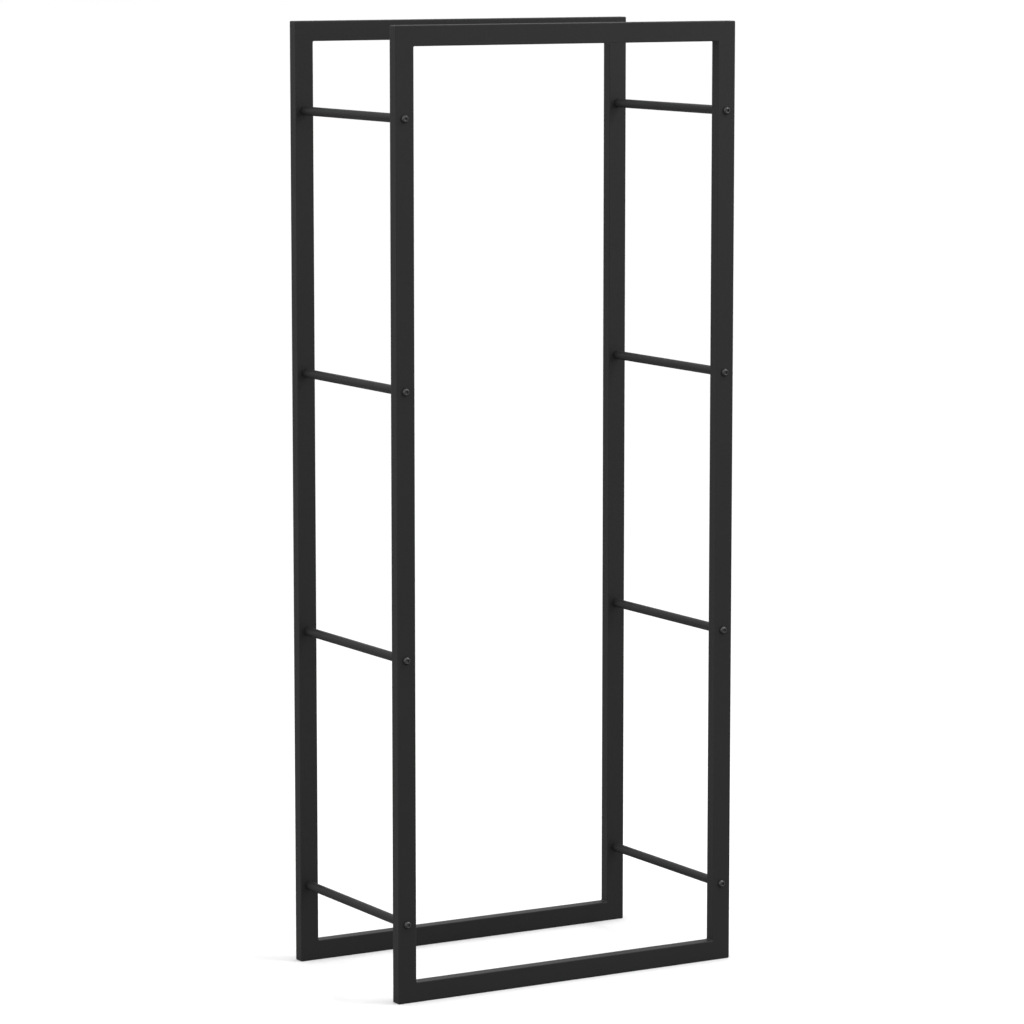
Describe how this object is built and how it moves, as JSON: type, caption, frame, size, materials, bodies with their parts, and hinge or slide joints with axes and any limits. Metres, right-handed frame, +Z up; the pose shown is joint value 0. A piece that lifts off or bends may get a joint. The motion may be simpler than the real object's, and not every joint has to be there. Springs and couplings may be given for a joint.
{
  "type": "firewood log rack",
  "caption": "Tall narrow open rack for split firewood: two rectangular tube frames, front and back, joined at the sides by bolted round cross bars.",
  "frame": {"origin": "on the floor, under the middle of the rack's width and depth", "axes": "+X to the right along the width as seen from the front, +Y from the front frame to the back frame, +Z up; the front is -Y"},
  "size_m": [0.5, 0.2892, 1.235],
  "materials": {
    "powder_coat": "matt black powder coat with a fine texture",
    "bolt_steel": "black oxide, satin",
    "plug_steel": "bright zinc plate"
  },
  "bodies": {
    "root": {"front_left_upright": "powder_coat", "front_right_upright": "powder_coat", "front_top_rail": "powder_coat", "front_bottom_rail": "powder_coat", "back_left_upright": "powder_coat", "back_right_upright": "powder_coat", "back_top_rail": "powder_coat", "back_bottom_rail": "powder_coat", "cross_bar_left_1": "powder_coat", "cross_bar_left_2": "powder_coat", "cross_bar_left_3": "powder_coat", "cross_bar_left_4": "powder_coat", "cross_bar_right_1": "powder_coat", "cross_bar_right_2": "powder_coat", "cross_bar_right_3": "powder_coat", "cross_bar_right_4": "powder_coat", "threaded_plug_left_1_front": "plug_steel", "threaded_plug_left_1_back": "plug_steel", "threaded_plug_left_2_front": "plug_steel", "threaded_plug_left_2_back": "plug_steel", "threaded_plug_left_3_front": "plug_steel", "threaded_plug_left_3_back": "plug_steel", "threaded_plug_left_4_front": "plug_steel", "threaded_plug_left_4_back": "plug_steel", "threaded_plug_right_1_front": "plug_steel", "threaded_plug_right_1_back": "plug_steel", "threaded_plug_right_2_front": "plug_steel", "threaded_plug_right_2_back": "plug_steel", "threaded_plug_right_3_front": "plug_steel", "threaded_plug_right_3_back": "plug_steel", "threaded_plug_right_4_front": "plug_steel", "threaded_plug_right_4_back": "plug_steel", "bolt_left_1_front": "bolt_steel", "bolt_left_1_back": "bolt_steel", "bolt_left_2_front": "bolt_steel", "bolt_left_2_back": "bolt_steel", "bolt_left_3_front": "bolt_steel", "bolt_left_3_back": "bolt_steel", "bolt_left_4_front": "bolt_steel", "bolt_left_4_back": "bolt_steel", "bolt_right_1_front": "bolt_steel", "bolt_right_1_back": "bolt_steel", "bolt_right_2_front": "bolt_steel", "bolt_right_2_back": "bolt_steel", "bolt_right_3_front": "bolt_steel", "bolt_right_3_back": "bolt_steel", "bolt_right_4_front": "bolt_steel", "bolt_right_4_back": "bolt_steel"}
  },
  "joints": []
}
